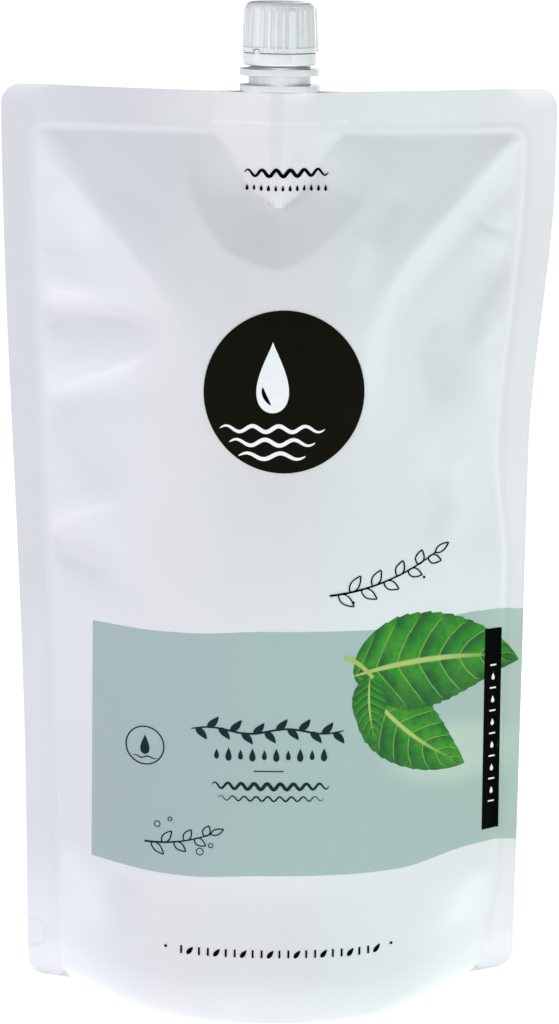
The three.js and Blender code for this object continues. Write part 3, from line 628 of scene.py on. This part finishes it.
class Ink:
    """Gathers print of one colour into one mesh. Every shape is a rectangular array of film coordinates."""

    def __init__(self, layer=1, panel=-1):
        self.panel = panel
        self.above = INK_STEP + INK_STEP * layer
        self.points, self.flat, self.faces, self.count = [], [], [], 0

    def add(self, x, h, u=None, v=None):
        x, h = np.asarray(x, float), np.asarray(h, float)
        on_film = film_points(self.panel, x, h)
        normal = film_normals(self.panel, x, h)
        n = x.size
        index = self.count + np.arange(n).reshape(x.shape)
        flat = np.stack([x if u is None else u, h if v is None else v], -1).reshape(-1, 2)
        area = np.sum((x[1:, 1:] - x[:-1, :-1]) * (h[1:, :-1] - h[:-1, 1:])
                      - (x[1:, :-1] - x[:-1, 1:]) * (h[1:, 1:] - h[:-1, :-1]))
        flip = area * self.panel > 0
        for offset in (self.above, -INK_SUNK):
            self.points.append((on_film + normal * offset).reshape(-1, 3))
        self.flat += [flat, flat]
        self.faces += grid_faces(index, flip=flip)
        self.faces += grid_faces(index + n, flip=not flip)
        rim = np.concatenate([index[0, :-1], index[:-1, -1], index[-1, :0:-1], index[:0:-1, 0]])
        rim = np.append(rim, rim[0])
        self.faces += grid_faces(np.stack([rim, rim + n]), flip=not flip)
        self.count += 2 * n

    def rectangle(self, x0, x1, h0, h1, across=1.0):
        xs = np.linspace(x0, x1, int(abs(x1 - x0) / across) + 2)
        hs = np.linspace(h0, h1, int(abs(h1 - h0)) + 2)
        self.add(*np.meshgrid(xs, hs))

    def disc(self, x0, h0, radius, cells=24):
        """A square grid drawn out to a circle."""
        u, v = np.meshgrid(np.linspace(-1, 1, cells), np.linspace(-1, 1, cells))
        big = np.maximum(np.abs(u), np.abs(v))
        scale = np.where(big > 0, big / np.maximum(np.hypot(u, v), 1e-9), 0.0)
        self.add(x0 + radius * u * scale, h0 + radius * v * scale)

    def ring(self, x0, h0, radius, width, cells=48):
        """A ring, open by half a degree so that its two ends don't touch."""
        turn = np.radians(np.linspace(0.0, 359.5, cells))
        r = np.array([radius - width / 2, radius + width / 2])[:, None]
        self.add(x0 + r * np.cos(turn), h0 + r * np.sin(turn))

    def stroke(self, xs, hs, width, across=2):
        """A line of varying width on a path. Its map runs along it from 0 to 1 and across it from -1 to 1."""
        xs, hs = np.asarray(xs, float), np.asarray(hs, float)
        dx, dh = np.gradient(xs), np.gradient(hs)
        size = np.hypot(dx, dh)
        half = np.maximum(np.asarray(width, float), 0.03) / 2
        side = np.linspace(-1.0, 1.0, across)[:, None]
        along_it = np.repeat(np.linspace(0.0, 1.0, len(xs))[None], across, 0)
        across_it = np.repeat(side, len(xs), 1)
        self.add(xs - side * dh / size * half, hs + side * dx / size * half, along_it, across_it)

    def drop(self, x0, h0, size, cells=20, across=2):
        """A drop with its tip up."""
        angle = np.linspace(0.06, math.pi - 0.1, cells)
        lift = size * np.cos(angle)
        width = 1.3 * size * np.sin(angle) * np.sin(angle / 2) ** 1.4
        self.stroke(np.full(cells, x0), h0 + lift, width, across)

    def leaf(self, x0, h0, length, width, turn, bend=0.0, cells=14, across=2, teeth=0):
        """A leaf that starts at a place and points at so many degrees from the right."""
        t, heading, xs, hs = bent_line(x0, h0, length, turn, bend, cells)
        outline = np.sin(math.pi * np.clip(t, 0.004, 0.996) ** 0.72) ** 0.8
        if teeth:
            outline = outline * (1.0 + 0.045 * ((t * teeth) % 1.0) * smooth(0.1, 0.3, t))
        self.stroke(xs, hs, width * outline, across)

    def leaf_outline(self, x0, h0, length, width, turn, pen=0.4, cells=26):
        """A leaf drawn as a line round its edge."""
        t = np.linspace(0.0, 2.0, cells)
        way = np.minimum(t, 2.0 - t)
        off = np.sign(1.0 - t) * 0.5 * width * np.sin(math.pi * way ** 0.8)
        c, s = math.cos(math.radians(turn)), math.sin(math.radians(turn))
        self.stroke(x0 + length * way * c - off * s, h0 + length * way * s + off * c, pen)

    def sprig(self, x0, h0, length, turn, leaves, size, bend=0.5, cells=40):
        """A twig drawn in thin lines, with leaves to both sides and one at its tip."""
        t, heading, xs, hs = bent_line(x0, h0, length, turn, bend, cells)
        self.stroke(xs, hs, 0.65 - 0.3 * t)
        for k in range(leaves):
            i = int((cells - 1) * (k + 0.8) / (leaves + 0.4))
            way = math.degrees(heading[i]) + (46 if k % 2 else -46)
            self.leaf_outline(xs[i], hs[i], size * (1.0 - 0.35 * t[i]), 0.42 * size, way)
        self.leaf_outline(xs[-1], hs[-1], 0.8 * size, 0.32 * size, math.degrees(heading[-1]))

    def wave(self, x0, x1, h0, height, waves, width, slope=0.0, cells=60):
        """A wavy line that thins out at its ends."""
        t = np.linspace(0.0, 1.0, cells)
        hs = h0 + slope * t * (x1 - x0) + height * np.sin(2 * math.pi * waves * t)
        self.stroke(x0 + (x1 - x0) * t, hs, width * np.sin(math.pi * t) ** 0.4)

    def build(self, name, material):
        made = make_object(name, np.concatenate(self.points), self.faces, 60.0, materials=(material,),
                           maps=(("Flat", np.concatenate(self.flat)),))
        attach(made, "pack")
        return made


# Materials

class Nodes:
    """A material's node tree, with a call for each kind of node that this scene uses."""

    def __init__(self, name, base=(0.8, 0.8, 0.8), roughness=0.5, **values):
        self.material = bpy.data.materials.new(name)
        self.material.use_nodes = True
        self.tree = self.material.node_tree
        self.shader = self.tree.nodes["Principled BSDF"]
        self.shader.inputs["Base Color"].default_value = (*base, 1.0)
        self.shader.inputs["Roughness"].default_value = roughness
        for key, value in values.items():
            self.shader.inputs[key.replace("_", " ")].default_value = value

    def put(self, socket, value):
        if isinstance(value, bpy.types.NodeSocket):
            self.tree.links.new(value, socket)
        else:
            socket.default_value = value

    def node(self, kind, out, settings=None, **inputs):
        """One output of a new node. Spaces in the names of its inputs are written as underscores."""
        made = self.tree.nodes.new(kind)
        for key, value in (settings or {}).items():
            setattr(made, key, value)
        for key, value in inputs.items():
            self.put(made.inputs[key.replace("_", " ")], value)
        return made.outputs[out]

    def math(self, operation, a, b=0.0):
        made = self.tree.nodes.new("ShaderNodeMath")
        made.operation = operation
        self.put(made.inputs[0], a)
        self.put(made.inputs[1], b)
        return made.outputs[0]

    def step(self, low, high, value):
        """A smooth step from 0 at low to 1 at high."""
        return self.node("ShaderNodeMapRange", 0, {"interpolation_type": "SMOOTHSTEP"},
                         Value=value, From_Min=low, From_Max=high)

    def between(self, low, high, soft, value):
        return self.math("MULTIPLY", self.step(low, low + soft, value), self.step(high, high - soft, value))

    def off_squared(self, value, middle, reach):
        """Squared distance from a middle, in reaches."""
        away = self.math("MULTIPLY", self.math("SUBTRACT", value, middle), 1 / reach)
        return self.math("POWER", away, 2.0)

    def mix(self, factor, a, b):
        made = self.tree.nodes.new("ShaderNodeMix")
        made.data_type = "RGBA"
        self.put(made.inputs["Factor"], factor)
        self.put(made.inputs["A"], a if isinstance(a, bpy.types.NodeSocket) else (*a, 1.0))
        self.put(made.inputs["B"], b if isinstance(b, bpy.types.NodeSocket) else (*b, 1.0))
        return made.outputs["Result"]

    def pair(self, name):
        """The two numbers of a UV map."""
        made = self.tree.nodes.new("ShaderNodeSeparateXYZ")
        self.put(made.inputs[0], self.node("ShaderNodeUVMap", 0, {"uv_map": name}))
        return made.outputs[0], made.outputs[1]

    def lighter(self, colour, factor):
        made = self.tree.nodes.new("ShaderNodeVectorMath")
        made.operation = "SCALE"
        self.put(made.inputs["Vector"], colour)
        made.inputs["Scale"].default_value = factor
        return made.outputs[0]

    def noise(self, scale, detail=2.0):
        place = self.node("ShaderNodeTexCoord", "Object")
        return self.node("ShaderNodeTexNoise", "Fac", Vector=place, Scale=scale, Detail=detail)

    def uneven(self, roughness, value):
        """A roughness that varies a little with a value."""
        return self.node("ShaderNodeMapRange", 0, Value=value,
                         To_Min=roughness - 0.05, To_Max=roughness + 0.06)

    def bump(self, height, distance, strength, normal=None):
        made = self.tree.nodes.new("ShaderNodeBump")
        made.inputs["Strength"].default_value = strength
        made.inputs["Distance"].default_value = distance
        self.put(made.inputs["Height"], height)
        if normal is not None:
            self.put(made.inputs["Normal"], normal)
        return made.outputs["Normal"]

    def finish(self, **inputs):
        for key, value in inputs.items():
            self.put(self.shader.inputs[key.replace("_", " ")], value)
        return self.material


def srgb(red, green, blue):
    """A colour given as 0 to 255 on screen, as linear values."""
    return tuple((v / 255 / 12.92) if v / 255 <= 0.04045 else ((v / 255 + 0.055) / 1.055) ** 2.4
                 for v in (red, green, blue))


WHITE_FILM = srgb(231, 230, 231)
FILM_LEFT_REFLECTION = srgb(230, 229, 234)
FILM_RIGHT_REFLECTION = srgb(227, 231, 231)
BAND_LEFT = srgb(170, 184, 190)
BAND_RIGHT = srgb(168, 190, 184)
BAND_PALE = srgb(194, 213, 196)
BLACK_INK = srgb(1, 1, 2)
DISC_INK = srgb(20, 19, 13)
DARK_INK = srgb(24, 46, 50)
WHITE_INK = srgb(240, 242, 243)
CAP_WHITE = (0.88, 0.89, 0.89)
SPOUT_WHITE = (0.77, 0.78, 0.79)
PLASTIC_ROUGHNESS = 0.22
INK_ROUGHNESS = 0.42
BLACK_ROUGHNESS = 0.36

# The printed band on the flat film, with its edge's sharpness, and the light patch below its leaves
BAND_FOOT = 48.0
BAND_TOP = 125.4
BAND_START = -57.6
BACK_BAND_START = 24.0
BAND_EDGE = 0.12
LIGHT_PATCH = dict(x=58.0, h=84.0, half_wide=27.0, half_high=13.0)


def film_material(name, band_start=None, on_front=False):
    """Matte paper laminate with its printed band, painted reflection tints, and painted light and shade."""
    n = Nodes(name, roughness=0.5, Specular_IOR_Level=0.35)
    paper = n.noise(900.0, 3.0)
    cloud = n.noise(28.0)
    colour = n.mix(n.step(0.35, 0.7, cloud), WHITE_FILM, tuple(0.975 * c for c in WHITE_FILM))
    if band_start is not None:
        x, h = n.pair("Flat")
        # Painted reflection: a lavender tint on the left of the front and a green tint on its right
        if on_front:
            colour = n.mix(n.step(-10.0, -60.0, x), colour, FILM_LEFT_REFLECTION)
            colour = n.mix(n.between(0.0, 78.0, 30.0, x), colour, FILM_RIGHT_REFLECTION)
        # The printed band runs up towards the right side and sags a little on the left
        rise = n.math("MULTIPLY", n.step(40.0, 64.0, x), 3.2)
        sag = n.math("MULTIPLY", n.between(-62.0, -2.0, 26.0, x), 1.3)
        height = n.math("ADD", n.math("SUBTRACT", h, rise), sag)
        on_band = n.math("MULTIPLY", n.between(BAND_FOOT, BAND_TOP, BAND_EDGE, height),
                         n.step(band_start, band_start + BAND_EDGE, x))
        shade = n.mix(n.step(-60.0, 10.0, x), BAND_LEFT, BAND_RIGHT)
        shade = n.mix(n.math("MULTIPLY", n.step(0.3, 0.7, cloud), 0.3), shade, BAND_RIGHT)
        if on_front:
            # Painted light: the band is painted paler towards the right seal
            shade = n.mix(n.math("MULTIPLY", n.step(62.0, 76.0, x), 0.4), shade, BAND_PALE)
            away = n.math("ADD", n.off_squared(x, LIGHT_PATCH["x"], LIGHT_PATCH["half_wide"]),
                          n.off_squared(h, LIGHT_PATCH["h"], LIGHT_PATCH["half_high"]))
            shade = n.mix(n.math("MULTIPLY", n.step(1.0, 0.1, away), 0.75), shade, BAND_PALE)
        colour = n.mix(on_band, colour, shade)
    # Painted light and shade: the second map lightens or darkens the colour
    tone, _ = n.pair("Painted_light")
    colour = n.mix(n.math("MAXIMUM", tone, 0.0), colour, n.lighter(colour, 1.2))
    colour = n.mix(n.math("MAXIMUM", n.math("MULTIPLY", tone, -1.0), 0.0), colour, n.lighter(colour, 0.85))
    fine = n.bump(paper, 0.00004, 0.5)
    soft = n.bump(n.noise(160.0), 0.0003, 0.35, fine)
    rough = n.node("ShaderNodeMapRange", 0, Value=paper, To_Min=0.46, To_Max=0.56)
    return n.finish(Base_Color=colour, Roughness=rough, Normal=soft)


def leaf_material(name):
    """Mint leaf: a pale midrib, side veins that curve forward, and the quilted cells between them."""
    n = Nodes(name, roughness=0.45, Specular_IOR_Level=0.3)
    along_it, across = n.pair("Flat")
    aside = n.math("ABSOLUTE", across)
    run = n.math("SUBTRACT", along_it, n.math("MULTIPLY", n.math("POWER", aside, 1.3), 0.17))
    cell = n.math("FRACT", n.math("MULTIPLY", run, 8.0))
    vein = n.between(0.0, 0.13, 0.05, cell)
    vein = n.math("MULTIPLY", vein, n.step(1.0, 0.75, aside))
    net = n.noise(420.0)
    patch = n.noise(90.0)
    green = n.mix(n.step(0.15, 0.9, cell), srgb(6, 92, 26), srgb(30, 140, 18))
    green = n.mix(n.math("MULTIPLY", n.step(0.4, 0.65, patch), 0.5), green, srgb(70, 160, 30))
    green = n.mix(n.math("MULTIPLY", n.step(0.5, 0.62, net), 0.35), green, srgb(8, 84, 24))
    green = n.mix(n.math("MULTIPLY", n.step(0.0, -0.9, across), 0.45), green, srgb(4, 74, 34))
    green = n.mix(n.math("MULTIPLY", vein, 0.7), green, srgb(128, 184, 66))
    midrib = n.math("MULTIPLY", n.step(0.075, 0.035, aside), n.step(0.98, 0.5, along_it))
    green = n.mix(midrib, green, srgb(176, 196, 108))
    rough = n.node("ShaderNodeMapRange", 0, Value=net, To_Min=0.4, To_Max=0.55)
    return n.finish(Base_Color=green, Roughness=rough, Normal=n.bump(cell, 0.00008, 0.5))


def ink_material(name, colour, roughness=INK_ROUGHNESS):
    """Ink with a fine grain."""
    n = Nodes(name, base=colour, roughness=roughness, Specular_IOR_Level=0.02)
    grain = n.noise(700.0)
    tint = n.mix(grain, colour, tuple(min(1.0, c * 1.2 + 0.001) for c in colour))
    return n.finish(Base_Color=tint, Roughness=n.uneven(roughness, grain), Normal=n.bump(grain, 0.00003, 0.4))


def plastic_material(name, colour):
    """Milky moulded plastic, with faint flow clouds, painted shade in its grooves and a slightly uneven skin.
    """
    n = Nodes(name, base=colour, roughness=PLASTIC_ROUGHNESS, IOR=1.5, Subsurface_Weight=0.35,
              Subsurface_Scale=0.003, Subsurface_Radius=(1.0, 1.0, 1.0))
    cloud = n.noise(90.0)
    tint = n.mix(n.step(0.35, 0.7, cloud), colour, tuple(0.965 * c for c in colour))
    # Painted shade: the colour darkens where ambient occlusion finds grooves and gaps close by
    open_to_light = n.node("ShaderNodeAmbientOcclusion", "AO", {"samples": 4}, Distance=0.001)
    tint = n.mix(n.step(1.0, 0.5, open_to_light), tint, tuple(0.76 * c for c in colour))
    rough = n.uneven(PLASTIC_ROUGHNESS, n.noise(300.0))
    return n.finish(Base_Color=tint, Roughness=rough, Normal=n.bump(n.noise(130.0, 1.0), 0.0001, 0.15))


# Pieces

film = make_film(film_material("film_front", BAND_START, on_front=True),
                 film_material("film_back", BACK_BAND_START), film_material("film_base"))
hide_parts("pouch")
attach(film, "pack")

leaves = Ink(0)
leaves.leaf(25.0, 111.0, 54.0, 30.0, 1.0, bend=-0.5, cells=110, across=19, teeth=17)
leaves.leaf(28.5, 107.5, 43.0, 22.0, -40.0, bend=0.5, cells=90, across=17, teeth=13)
leaves.build("print_leaves", leaf_material("leaf_print"))

small_leaf = Ink(1)
small_leaf.leaf(30.0, 110.5, 21.0, 10.5, -84.0, bend=0.4, cells=70, across=11, teeth=9)
small_leaf.build("print_small_leaf", leaf_material("small_leaf_print"))

stem = Ink(2)
t = np.linspace(0.0, 1.0, 24)
stem.stroke(22.0 + 9.0 * t, 117.0 - 7.0 * t + 1.2 * np.sin(3.0 * t), 1.5 - 0.4 * t)
stem.build("print_stem", ink_material("ink_stem", srgb(166, 184, 104)))

disc = Ink(3)
disc.disc(2.1, 200.0, 25.15, cells=44)
disc.build("print_disc", ink_material("ink_disc", DISC_INK, BLACK_ROUGHNESS))

black = Ink(3)
black.rectangle(67.4, 73.0, 56.0, 122.3, across=0.35)
# Waves, drops and twigs where the pack has words
black.wave(-10.8, 15.6, 267.2, 1.0, 6, 1.15, slope=0.01, cells=110)
for k in range(12):
    black.drop(-10.0 + 2.25 * k, 262.6, 0.95)
black.disc(-33.5, 22.9, 0.45, cells=6)
black.disc(38.0, 23.1, 0.45, cells=6)
for k in range(23):
    x = -28.6 + 2.82 * k
    if k % 3 == 1:
        black.leaf(x - 1.0, 21.4, 3.1, 1.4, 52.0)
    else:
        black.stroke(np.full(4, x), np.linspace(21.4, 23.9, 4), 0.6)
black.sprig(17.0, 136.5, 36.0, 20.0, 9, 6.6)
black.disc(24.5, 134.2, 0.4, cells=6)
black.disc(47.0, 141.0, 0.4, cells=6)
black.build("print_black", ink_material("ink_black", BLACK_INK, BLACK_ROUGHNESS))

dark = Ink(1)
dark.rectangle(-6.3, 3.1, 81.25, 81.6)
dark.ring(-40.6, 87.3, 6.0, 0.4)
dark.drop(-40.6, 87.6, 3.1, across=5)
dark.wave(-44.6, -36.6, 83.6, 0.3, 2, 0.4)
# Garland of leaves along a stem, a row of drops, and waves below the rule
t = np.linspace(0.0, 1.0, 80)
dark.stroke(-26.0 + 48.0 * t, 94.0 + 0.8 * np.sin(4 * math.pi * t), 0.45 * np.sin(math.pi * t) ** 0.3 + 0.2)
for k in range(13):
    x = -24.6 + 3.6 * k
    h = 94.0 + 0.8 * math.sin(4 * math.pi * (x + 26.0) / 48.0)
    dark.leaf(x, h, 5.0, 2.2, 46.0 if k % 2 else -46.0, bend=0.5 if k % 2 else -0.5)
for k in range(10):
    dark.drop(-18.0 + 3.75 * k, 86.6, 2.1 if k % 2 else 1.6)
dark.wave(-19.5, 17.5, 76.6, 0.9, 9, 1.15, cells=160)
dark.wave(-17.5, 15.8, 72.7, 0.7, 9, 0.55, cells=160)
dark.sprig(-40.5, 56.5, 21.5, 12.0, 6, 5.6, bend=0.4)
for x, h, radius in ((-23.0, 55.0, 1.1), (-19.6, 57.2, 0.7), (-36.5, 62.6, 0.9), (-32.5, 64.6, 0.6)):
    dark.ring(x, h, radius, 0.28, cells=24)
dark.build("print_dark", ink_material("ink_dark", DARK_INK))

white = Ink(4)
white.drop(-1.5, 204.5, 11.0, cells=60, across=11)
for k in range(3):
    white.wave(-18.0 + 3.0 * k, 15.0 - 3.0 * k, 188.6 - 4.2 * k, 0.9, 4 - k, 1.3, cells=90)
for k in range(13):
    h = 66.0 + 3.7 * k
    if k % 2:
        white.drop(70.2, h, 1.1)
    else:
        white.stroke(np.linspace(69.2, 71.2, 4), np.full(4, h), 0.5)
white.build("print_white", ink_material("ink_white", WHITE_INK))

gleam = Ink(5)
t = np.linspace(0.0, 1.0, 30)
gleam.stroke(-4.6 + 2.6 * t ** 2, 201.5 - 5.6 * t, 1.3 * np.sin(math.pi * t) ** 0.6)
gleam.build("print_gleam", ink_material("ink_gleam", BLACK_INK))

# Back panel: lines where the pack has its small print
back = Ink(1, panel=1)
for k in range(15):
    run = (58.0, 55.0, 57.0, 41.0)[k % 4]
    back.wave(-48.0, -48.0 + run, 196.0 - 3.4 * k, 0.3, 0.5 * run, 0.5, cells=int(7 * run))
back.drop(0.0, 226.0, 7.5, cells=50, across=7)
back.ring(0.0, 225.0, 14.0, 0.7, cells=90)
back.rectangle(-20.0, 20.0, 205.4, 205.8)
for k in range(3):
    back.ring(-40.0 + 17.0 * k, 33.0, 6.0, 0.5, cells=60)
back.drop(-40.0, 33.4, 3.4, cells=30, across=5)
back.sprig(-23.4, 29.4, 5.6, 84.0, 4, 2.6, bend=0.2)
for h in (34.4, 31.6):
    back.wave(-10.0, -2.0, h, 0.7, 2, 0.6)
back.build("print_back", ink_material("ink_back", DARK_INK))


# Thread on the neck, and its section as a share of its height out from the neck and a place up or down
THREAD = dict(radius=8.7, height=0.75, foot=307.4, rise=8.0, turns=2.4)
THREAD_SECTION = ((-0.1, -0.75), (1.0, -0.25), (1.0, 0.25), (-0.1, 0.75))


def make_thread():
    """One ridge that winds up the spout's neck under the cap and fades out at both ends."""
    steps = 150
    t = np.linspace(0.0, 1.0, steps)
    angle = 2 * math.pi * THREAD["turns"] * t
    stand = THREAD["height"] * smooth(0.0, 0.06, t) * smooth(1.0, 0.94, t)
    middle = THREAD["foot"] + THREAD["rise"] * t
    points = []
    for out, up in THREAD_SECTION:
        radius = THREAD["radius"] + np.where(out > 0, stand * out, out)
        points.append(np.stack([radius * np.cos(angle), radius * np.sin(angle), middle + up], -1))
    index = np.arange(len(THREAD_SECTION) * steps).reshape(-1, steps)
    faces = grid_faces(np.concatenate([index, index[:1]]))
    faces += [index[:, 0].tolist(), index[::-1, -1].tolist()]
    return make_object("neck_thread", np.concatenate(points), faces, 35.0)


for node, colour in (("spout", SPOUT_WHITE), ("tamper_band", CAP_WHITE), ("cap", CAP_WHITE)):
    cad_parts[node].material_slots[0].material = plastic_material(node + "_plastic", colour)
thread = make_thread()
thread.data.materials.append(plastic_material("thread_plastic", SPOUT_WHITE))
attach(thread, "pack")


# Stage, light and camera

floor_mesh = bpy.data.meshes.new("floor")
floor_mesh.from_pydata([(-14, -9, 0), (14, -9, 0), (14, 16, 0), (-14, 16, 0)], [], [(0, 1, 2, 3)])
floor = add_object("floor", floor_mesh)
# The floor glows more with distance, so that it runs into the white background
floor_nodes = Nodes("floor_white", base=(0.86, 0.86, 0.86), roughness=0.9)
floor_nodes.shader.inputs["Emission Color"].default_value = (1.0, 0.985, 0.975, 1.0)
distance = floor_nodes.tree.nodes.new("ShaderNodeVectorMath")
distance.operation = "LENGTH"
floor_nodes.put(distance.inputs[0], floor_nodes.node("ShaderNodeTexCoord", "Object"))
glow = floor_nodes.node("ShaderNodeMapRange", 0, {"interpolation_type": "SMOOTHSTEP"},
                        Value=distance.outputs["Value"], From_Min=0.1, From_Max=1.3, To_Min=0.68, To_Max=1.0)
floor_mesh.materials.append(floor_nodes.finish(Emission_Strength=glow))


# Area lights: name, width and height, power, colour, place, and the place that it points at
LIGHTS = (
    ("left_low", (0.5, 0.7), 2.0, (0.87, 0.94, 1.0), (-1.2, -0.36, 0.22), (0, 0, 0.12)),
    ("left_front", (0.6, 0.8), 0.4, (0.4, 0.6, 1.0), (-0.8, -1.2, 0.4), (0, 0, 0.15)),
    ("left_high", (0.5, 0.5), 2.95, (0.88, 0.93, 1.0), (-0.7, -0.5, 1.2), (0, 0, 0.15)),
    ("right_near", (0.2, 0.5), 0.26, (0.71, 1.0, 0.97), (0.32, -0.16, 0.18), (0.08, 0, 0.15)),
    ("top_front", (0.8, 0.4), 0.85, (0.6, 0.78, 1.0), (0, -0.9, 1.3), (0, 0, 0.15)),
    ("low_near", (0.5, 0.1), 0.29, (0.92, 0.99, 1.0), (0.1, -0.35, 0.03), (0.02, 0, 0.02)),
    ("left_strip", (0.05, 0.6), 0.9, (1.0, 1.0, 1.0), (-0.6, -0.9, 0.5), (0, 0, 0.25)),
    ("right_strip", (0.05, 0.6), 0.45, (1.0, 1.0, 1.0), (0.7, -0.7, 0.5), (0, 0, 0.25)),
    ("back_softbox", (1.0, 0.8), 5.0, (1.0, 0.99, 0.97), (0.5, 1.4, 0.6), (0, 0, 0.15)),
    ("back_high", (0.6, 0.4), 2.4, (1.0, 1.0, 1.0), (0, 0.75, 1.4), (0, 0, 0.3)),
)
for name, size, power, colour, place, target in LIGHTS:
    light_data = bpy.data.lights.new(name, "AREA")
    light_data.shape = "RECTANGLE"
    light_data.size, light_data.size_y = size
    light_data.energy = power
    light_data.color = colour
    light = add_object(name, light_data)
    light.location = place
    light.rotation_euler = (Vector(place) - Vector(target)).to_track_quat("Z", "Y").to_euler()

WORLD_STRENGTH = 0.125
world = bpy.data.worlds.new("studio")
bpy.context.scene.world = world
world.use_nodes = True
background = world.node_tree.nodes["Background"]
background.inputs["Color"].default_value = (1.0, 1.0, 1.0, 1.0)
background.inputs["Strength"].default_value = WORLD_STRENGTH
bpy.context.scene.view_settings.view_transform = "Standard"

# Camera fitted to the photograph: its place in millimetres, its turns in degrees, and its focal length and
# shift in pixels
CAMERA = dict(distance=1500.0, height=377.97, side=1.497, pitch=8.3485, roll=-0.6482, yaw=1.0364,
              focal=4765.57, shift_x=-0.131, shift_y=3.945)
IMAGE_HEIGHT = 1024.0
SENSOR_HEIGHT = 36.0
camera_data = bpy.data.cameras.new("camera")
camera = add_object("camera", camera_data)
camera_data.sensor_fit = "VERTICAL"
camera_data.sensor_height = SENSOR_HEIGHT
camera_data.lens = CAMERA["focal"] * SENSOR_HEIGHT / IMAGE_HEIGHT
camera_data.shift_x = CAMERA["shift_x"] / IMAGE_HEIGHT
camera_data.shift_y = CAMERA["shift_y"] / IMAGE_HEIGHT
camera_data.clip_start = 0.05
camera_data.clip_end = 60.0
turn = Matrix.Rotation(-math.radians(CAMERA["yaw"]), 4, "Z")
place = turn @ Matrix.Translation((CAMERA["side"] * MM, -CAMERA["distance"] * MM, CAMERA["height"] * MM))
tilt = Matrix.Rotation(math.radians(90.0 - CAMERA["pitch"]), 4, "X")
roll = Matrix.Rotation(-math.radians(CAMERA["roll"]), 4, "Z")
camera.matrix_world = place @ tilt @ roll
bpy.context.scene.camera = camera
